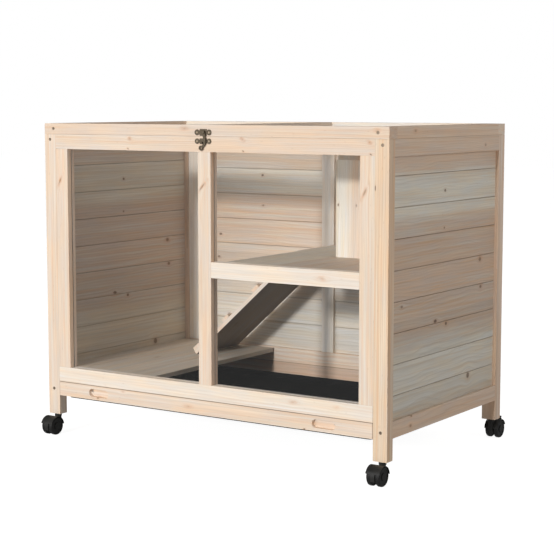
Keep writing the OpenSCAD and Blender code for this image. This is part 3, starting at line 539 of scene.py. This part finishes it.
put(wood("pine_right_rails", side_rails, SIDE, 20.0, 4.4, 0.42, 0.85, knots=[
    (169, 684, 5, 4, 0.45, 0.45), (-164, 128, 4, 2.5, 0.8, 0.5), (-167, 108, 6, 4, 0.5, 0.5)]), "right_side_rails")
put(wood("pine_left_rails", side_rails, SIDE, 27.0, 4.4, 0.42, 0.85, scatter=(0.2, 4.0)), "left_side_rails")
put(wood("pine_leg_rl", along_z, SIDE, 31.0, 4.6, 0.40, 0.9, scatter=(0.2, 3.5)), "rear_left_leg")
put(wood("pine_leg_rr", along_z, REAR_LEG, 32.0, 4.6, 0.40, 0.9, scatter=(0.2, 3.5)), "rear_right_leg")
# the upper back rail is lighter and cooler and the lower one darker, partly their own tone and partly painted light and
# shade; the line between them is painted shade
put(wood("pine_back_rails", lambda t, x, y, z: (x, z, y, index(t, z, 94.0, 34.0)), SIDE, 35.0, 4.4, 0.42, 0.85, scatter=(0.2, 4.0),
         tints=(("z", 128.4, 700.0, (1.14, 1.22, 1.30)), ("z", 127.3, 128.5, (0.55, 0.48, 0.42)), ("z", 0.0, 127.2, (0.95, 0.92, 0.92)))), "back_rails")
# the back stiles take the near-white corner palette, painted light
put(wood("pine_back_stiles", lambda t, x, y, z: (z, x, y, index(t, x, -500.0, 333.0)), CORNER_LIT, 41.0, 4.4, 0.42, 0.85, scatter=(0.15, 4.0)), "back_stiles")
put(wood("pine_runners", lambda t, x, y, z: (y, z, x, t.math("GREATER_THAN", x, 0.0)), SIDE, 45.0, 4.6, 0.42, 0.8), "tray_runners")


def bearers(t, x, y, z):
    lengthwise = t.math("GREATER_THAN", t.math("ABSOLUTE", x), 420.0)
    return t.mixf(lengthwise, x, y), t.mixf(lengthwise, y, x), z, t.add(lengthwise, t.math("GREATER_THAN", y, 0.0))


put(wood("pine_bearers", bearers, SIDE, 48.0, 4.6, 0.42, 0.8), "floor_bearers")

# boards
WALL_BANDS = ("z", [(90.0, 0.55), (150.0, 0.9), (255.0, 1.0), (292.0, 0.15), (420.0, 0.0), (520.0, 0.0), (548.0, 0.9),
                    (600.0, 1.0), (628.0, 0.8), (645.0, 0.1), (672.0, 0.1)])
PITCH = 64.4


def wall_y(t, x, y, z):
    return y, z, x, index(t, z, 179.2 - 2 * PITCH, PITCH)


SIDE_KNOTS = [(-8, 591, 5, 4, 0.9, 0.35), (-10, 511, 4, 3, 0.7, 0.4), (165, 428, 8, 6, 0.75, 0.5), (170, 366, 7, 5, 0.75, 0.7),
              (-195, 360, 6, 4, 0.6, 0.3), (-47, 313, 9, 5, 0.95, 0.4), (3, 302, 6, 5, 0.9, 0.4), (112, 172, 9, 9, 0.85, 0.4)]
# right wall: the boards are darker towards the bottom (z 100-330), painted shade
put(wood("boards_right", wall_y, tinted(BOARD, 0.90, 0.875, 0.86), 50.0, 4.6, 0.46, 0.85, knots=SIDE_KNOTS, bands=WALL_BANDS,
         seams=(179.2 - 2 * PITCH, PITCH, 640.0), white=tinted(WHITE, 1.09, 1.09, 1.10),
         tints=(("z", 100.0, 330.0, (0.90, 0.90, 0.90)),)), "right_wall_boards")
# left wall: the palette is greyer and cooler, painted shade for the inside of the hutch
put(wood("boards_left", wall_y, tinted(BOARD, 0.885, 0.93, 1.00), 50.0, 4.6, 0.46, 0.85, knots=SIDE_KNOTS, bands=WALL_BANDS, seams=(179.2 - 2 * PITCH, PITCH, 640.0)), "left_wall_boards")


def wall_x(t, x, y, z):
    return x, z, y, t.add(index(t, z, 164.0 - 2 * PITCH, 64.0), t.mul(t.math("GREATER_THAN", x, 0.0), 0.0))


BACK_BANDS = ("z", [(120.0, 0.75), (250.0, 1.0), (300.0, 0.75), (345.0, 0.3), (420.0, 0.25), (450.0, 0.0), (520.0, 0.0), (546.0, 0.1), (556.0, 1.0),
                    (606.0, 1.0), (618.0, 0.35), (672.0, 0.2)])
# back wall: the white boards are made lighter, painted light; the front face below z 400 is darker and the bay under
# the nook (x above 290) darker still, painted shade
put(wood("boards_back", wall_x, tinted(BOARD, 1.04, 1.06, 1.08), 60.0, 4.6, 0.44, 0.85, knots=[
    (-198, 596, 5, 3.5, 0.85, 0.35), (-196, 520, 4, 3, 0.5, 0.35), (-328, 442, 6, 4, 0.8, 0.4), (-334, 383, 6, 4, 0.7, 0.5),
    (-209, 317, 8, 5, 0.9, 0.4), (-301, 235, 7, 5, 0.8, 0.5), (240, 470, 7, 5, 0.8, 0.5), (330, 250, 6, 5, 0.8, 0.4), (150, 380, 6, 4, 0.7, 0.4)],
    bands=BACK_BANDS, seams=(164.0, 64.0, 640.0), white=tinted(WHITE, 1.25, 1.29, 1.36),
    tints=(("z", 160.0, 400.0, (0.92, 0.91, 0.90), 252.0), ("x", 290.0, 440.0, (0.76, 0.72, 0.71), 252.0))), "back_wall_boards")

FLOOR_BANDS = ("x", [(-440.0, 0.2), (-300.0, 0.1), (-150.0, 0.25), (40.0, 0.95), (166.0, 0.9), (176.0, 0.15), (440.0, 0.15)])
put(wood("boards_shelf", lambda t, x, y, z: (y, x, z, index(t, x, 41.0, 65.8)), tinted(BOARD, 0.86, 0.87, 0.88), 70.0, 4.8, 0.42, 0.8,
         scatter=(0.35, 4.0), bands=FLOOR_BANDS, seams=(41.0, 65.8, 430.0)), "upper_shelf")
# platform: the palette is greyer and cooler, painted shade inside the hutch
put(wood("boards_platform", lambda t, x, y, z: (y, x, z, index(t, x, -435.7, 69.4)), tinted(BOARD, 0.93, 1.06, 1.16), 78.0, 4.8, 0.42, 0.8,
         knots=[(-35, -315, 11, 4, 0.5, 0.6)], scatter=(0.25, 4.0), seams=(-435.7, 69.4, -170.0)), "low_platform")
NOOK_BANDS = ("x", [(180.0, 1.0), (206.0, 0.95), (222.0, 0.5), (240.0, 0.1), (440.0, 0.1)])
# nook wall: the palettes are made much lighter, partly the boards' own pale tone and partly painted light; the batten
# behind the top (y above -12.95) is darkened, painted shade
put(wood("boards_nook", lambda t, x, y, z: (z, x, y, index(t, x, 185.0, 64.4)), tinted(BOARD, 1.22, 1.25, 1.27), 84.0, 4.8, 0.40, 0.9,
         knots=[(551, 191, 4, 2.5, 0.8, 0.3), (551, 238, 4, 2.5, 0.5, 0.3)], bands=NOOK_BANDS, seams=(185.0, 64.4, 430.0),
         white=tinted(WHITE, 1.30, 1.33, 1.37), tints=(("y", -12.95, 5.0, (0.62, 0.54, 0.48)),)), "nook_wall")

RAMP_A = math.atan2(434.0 - 162.0 - 4.6, 299.6)
CA, SA = math.cos(RAMP_A), math.sin(RAMP_A)


def ramp_along(t, x, y, z):
    L = t.add(t.mul(x, CA), t.mul(z, SA))
    T = t.sub(t.mul(z, CA), t.mul(x, SA))
    return L, y, T, 0.0


def ramp_cleat(t, x, y, z):
    L = t.add(t.mul(x, CA), t.mul(z, SA))
    T = t.sub(t.mul(z, CA), t.mul(x, SA))
    return y, L, T, index(t, L, -115.2, 117.0)


# ramp: the board is darkened between T 280 and 293.8, painted shade on its underside
put(wood("pine_ramp", ramp_along, tinted(BOARD, 1.20, 1.34, 1.48), 90.0, 4.6, 0.42, 0.85, scatter=(0.4, 4.0),
         tints=(("T", 280.0, 293.8, (0.30, 0.28, 0.26)),)), "ramp_board")
put(wood("pine_cleats", ramp_cleat, FRONT, 93.0, 4.0, 0.36, 0.8), "ramp_cleats")


# ------------------------------------------------------------------ other materials
def plain(name):
    m = bpy.data.materials.new(name)
    m.use_nodes = True
    t = Tree(m.node_tree)
    t.t.nodes.clear()
    b = t.node("ShaderNodeBsdfPrincipled")
    o = t.node("ShaderNodeOutputMaterial")
    t.t.links.new(b.outputs[0], o.inputs[0])
    return m, t, b


def plastic(name, dark, light, rough, grain_mm, depth, spec=0.45, dust=(0.16, 0.15, 0.14), dust_amount=0.12, scuffs=0.20):
    """Moulded plastic: fine grain, faint flow clouds, a little dust on what faces up."""
    m, t, b = plain(name)
    x, y, z = object_mm(t)
    p = t.xyz(x, y, z)
    grain = t.noise(p, 1.0 / grain_mm, 2.0, 0.6)
    cloud = t.noise(p, 1 / 38.0, 3.0, 0.55)
    col = t.mix(t.step(cloud, 0.3, 0.7), dark, light)
    if scuffs:
        scuff = t.noise(t.xyz(t.mul(x, 1 / 9), t.mul(y, 1 / 2.2), t.mul(z, 1 / 4)), 1.0, 3.0, 0.7)
        col = t.mix(t.mul(t.step(scuff, 0.62, 0.80), scuffs), col, dust)
    g = t.node("ShaderNodeNewGeometry")
    up = t.step(t.split(g.outputs["Normal"])[2], 0.5, 1.0)
    col = t.mix(t.mul(up, t.mul(t.step(cloud, 0.25, 0.8), dust_amount)), col, dust)
    t.put(b.inputs["Base Color"], col)
    r = t.add(rough, t.mul(t.sub(cloud, 0.5), 0.18))
    r = t.add(r, t.mul(t.sub(grain, 0.5), 0.12))
    t.put(b.inputs["Roughness"], r)
    b.inputs["Specular IOR Level"].default_value = spec
    bump = t.node("ShaderNodeBump")
    bump.inputs["Strength"].default_value = 0.5
    bump.inputs["Distance"].default_value = depth
    t.put(bump.inputs["Height"], grain)
    t.put(b.inputs["Normal"], bump.outputs[0])
    return m


def metal(name, tone, worn, rough, wear, screws=(), head=None):
    """Plated steel or bronze: cloudy patina that has rubbed off on the high spots.

    screws: (x, z) of screw heads in the same part, which are plated in another tone."""
    m, t, b = plain(name)
    x, y, z = object_mm(t)
    p = t.xyz(x, y, z)
    patina = t.noise(p, 1 / 2.6, 4.0, 0.6)
    fine = t.noise(p, 1 / 0.5, 2.0, 0.6)
    mask = t.mul(t.step(patina, 0.52, 0.72), wear)
    col = t.mix(mask, tone, worn)
    if screws:
        near = None
        for (sx, sz) in screws:
            d = t.vec("DISTANCE", t.xyz(x, 0.0, z), (sx, 0.0, sz))
            near = d if near is None else t.math("MINIMUM", near, d)
        is_head = t.step(near, 2.25, 1.95)
        col = t.mix(is_head, col, t.mix(t.step(patina, 0.35, 0.65), head, tuple(c * 0.7 for c in head)))
    t.put(b.inputs["Base Color"], col)
    b.inputs["Metallic"].default_value = 1.0
    r = t.add(rough, t.mul(t.sub(patina, 0.5), -0.25))
    r = t.add(r, t.mul(t.sub(fine, 0.5), 0.10))
    t.put(b.inputs["Roughness"], r)
    bump = t.node("ShaderNodeBump")
    bump.inputs["Strength"].default_value = 0.4
    bump.inputs["Distance"].default_value = 0.00012
    t.put(bump.inputs["Height"], t.add(patina, t.mul(fine, 0.4)))
    t.put(b.inputs["Normal"], bump.outputs[0])
    return m


def clear_panel(name, alpha):
    m, t, b = plain(name)
    x, y, z = object_mm(t)
    haze = t.noise(t.xyz(x, y, z), 1 / 60.0, 3.0, 0.6)
    b.inputs["Base Color"].default_value = (0.97, 0.985, 0.985, 1.0)
    t.put(b.inputs["Roughness"], t.mad(haze, 0.03, 0.01))
    b.inputs["IOR"].default_value = 1.49
    b.inputs["Alpha"].default_value = alpha
    b.inputs["Specular IOR Level"].default_value = 0.35
    return m


TRAY = plastic("tray_plastic", (0.0058, 0.0058, 0.0059), (0.0092, 0.0090, 0.0089), 0.75, 0.9, 0.00025, spec=0.0, dust_amount=0.0, scuffs=0.0)
NYLON = plastic("caster_nylon", (0.017, 0.0165, 0.0155), (0.029, 0.028, 0.026), 0.45, 0.7, 0.00010, spec=0.26, dust_amount=0.10, scuffs=0.08)
TREAD = plastic("wheel_tread", (0.007, 0.007, 0.0068), (0.013, 0.0125, 0.012), 0.52, 0.8, 0.00014, spec=0.30, dust=(0.13, 0.12, 0.11), dust_amount=0.08, scuffs=0.08)
BRONZE = metal("antique_bronze", (0.105, 0.083, 0.058), (0.30, 0.27, 0.22), 0.46, 0.55,
               screws=[(-17.5, 713.6), (14.2, 713.6), (-17.5, 694.7), (14.2, 694.7)], head=(0.46, 0.37, 0.27))
STEEL = metal("zinc_steel", (0.52, 0.50, 0.46), (0.70, 0.68, 0.64), 0.34, 0.5)
SCREW = metal("screw_steel", (0.30, 0.235, 0.175), (0.44, 0.37, 0.29), 0.48, 0.5)
CLEAR = clear_panel("clear_acrylic", 0.013)
CLEAR_LID = clear_panel("clear_acrylic_lid", 0.13)

put(TRAY, "litter_tray")
for c in ("front_left", "front_right", "rear_left", "rear_right"):
    put(NYLON, c + "_caster_fork")
    put(STEEL, c + "_caster_axle")
    put(TREAD, c + "_outer_wheel", c + "_inner_wheel")
put(NYLON, "rear_left_brake_lever", "rear_right_brake_lever")
put(STEEL, "caster_stems", "hinge_pins", "tray_screws", "hinge_frame_leaves", "hinge_lid_leaves")
put(SCREW, "frame_screws", "lid_screws")
put(BRONZE, "latch_plate", "latch_hook", "latch_keeper")
put(CLEAR, "front_windows")
put(CLEAR_LID, "lid_windows")


# ------------------------------------------------------------------ softened edges
def soften(name, width, segments=2, angle=35.0, dissolve=True):
    o = nodes[name]
    w = o.modifiers.new("weld", "WELD")
    w.merge_threshold = 0.00001
    if dissolve:
        d = o.modifiers.new("flat_faces", "DECIMATE")
        d.decimate_type = "DISSOLVE"
        d.angle_limit = math.radians(0.5)
    b = o.modifiers.new("edges", "BEVEL")
    b.width = width
    b.segments = segments
    b.limit_method = "ANGLE"
    b.angle_limit = math.radians(angle)
    b.harden_normals = True
    b.use_clamp_overlap = True
    b.miter_outer = "MITER_ARC"


TIMBER = [
    "front_left_leg", "front_right_leg", "rear_left_leg", "rear_right_leg", "front_top_rail", "front_bottom_rail",
    "front_left_stile", "front_right_stile", "front_mid_stile", "shelf_front_rail", "left_side_rails", "right_side_rails",
    "back_rails", "back_stiles", "floor_bearers", "ramp_board", "ramp_cleats", "tray_runners", "drawer_front",
    "lid_front_rail", "lid_rear_rail", "lid_side_rails", "lid_mid_rail",
]
for n in TIMBER:
    soften(n, 0.0007)


# ------------------------------------------------------------------ stage
def make_floor():
    bm = bmesh.new()
    bmesh.ops.create_grid(bm, x_segments=2, y_segments=2, size=14.0)
    me = bpy.data.meshes.new("floor")
    bm.to_mesh(me)
    bm.free()
    o = bpy.data.objects.new("floor", me)
    scene.collection.objects.link(o)
    m, t, b = plain("pale_floor")
    b.inputs["Base Color"].default_value = (0.36, 0.36, 0.358, 1.0)
    b.inputs["Roughness"].default_value = 0.9
    b.inputs["Specular IOR Level"].default_value = 0.1
    b.inputs["Emission Color"].default_value = (1.0, 1.0, 1.0, 1.0)
    b.inputs["Emission Strength"].default_value = 0.93
    me.materials.append(m)
    o.location = (0.0, 0.0, -0.0002)
    o.visible_diffuse = False
    o.visible_glossy = False


make_floor()

world = bpy.data.worlds.new("world")
scene.world = world
world.use_nodes = True
wt = Tree(world.node_tree)
wt.t.nodes.clear()
lp = wt.node("ShaderNodeLightPath")
sky = wt.node("ShaderNodeTexCoord")
up = wt.split(sky.outputs["Generated"])[2]
bg = wt.node("ShaderNodeBackground")
bg.inputs["Color"].default_value = (1.0, 1.0, 1.0, 1.0)
wt.put(bg.inputs["Strength"], wt.mixf(lp.outputs["Is Camera Ray"], wt.step(up, -0.05, 0.05, 0.36, 0.07), 1.0))
wo = wt.node("ShaderNodeOutputWorld")
wt.t.links.new(bg.outputs[0], wo.inputs[0])


def sun(name, az, el, strength, angle, color):
    """Light that comes from azimuth az (0 is in front, towards -Y) and elevation el."""
    d = bpy.data.lights.new(name, "SUN")
    d.energy = strength
    d.angle = math.radians(angle)
    d.color = color
    o = bpy.data.objects.new(name, d)
    scene.collection.objects.link(o)
    a, e = math.radians(az), math.radians(el)
    src = Vector((math.sin(a) * math.cos(e), -math.cos(a) * math.cos(e), math.sin(e)))
    o.rotation_mode = "QUATERNION"
    o.rotation_quaternion = src.to_track_quat("Z", "Y")
    return o


def softbox(name, at, aim, size_x, size_y, power, color):
    d = bpy.data.lights.new(name, "AREA")
    d.shape = "RECTANGLE"
    d.size, d.size_y = size_x, size_y
    d.energy = power
    d.color = color
    o = bpy.data.objects.new(name, d)
    scene.collection.objects.link(o)
    o.location = at
    o.rotation_mode = "QUATERNION"
    o.rotation_quaternion = (Vector(at) - Vector(aim)).to_track_quat("Z", "Y")
    return o


sun("key", 0.5, 15.4, 1.50, 4.5, (1.0, 0.995, 0.985))
softbox("front_box", (-1.2, -3.6, 1.5), (0.0, 0.0, 0.35), 3.2, 2.4, 67.0, (1.0, 0.998, 0.995))
softbox("back_box", (0.6, 3.8, 0.9), (0.0, 0.0, 0.35), 2.6, 1.6, 17.0, (1.0, 0.995, 0.99))
softbox("right_box", (3.4, -0.2, 1.5), (0.4, 0.0, 0.4), 1.5, 1.5, 31.0, (1.0, 0.995, 0.99))
softbox("top_box", (0.0, 0.6, 3.6), (0.0, 0.0, 0.4), 2.4, 2.4, 14.0, (1.0, 1.0, 1.0))

scene.view_settings.view_transform = "Standard"
scene.view_settings.look = "None"
scene.view_settings.exposure = 0.0
scene.view_settings.gamma = 1.0
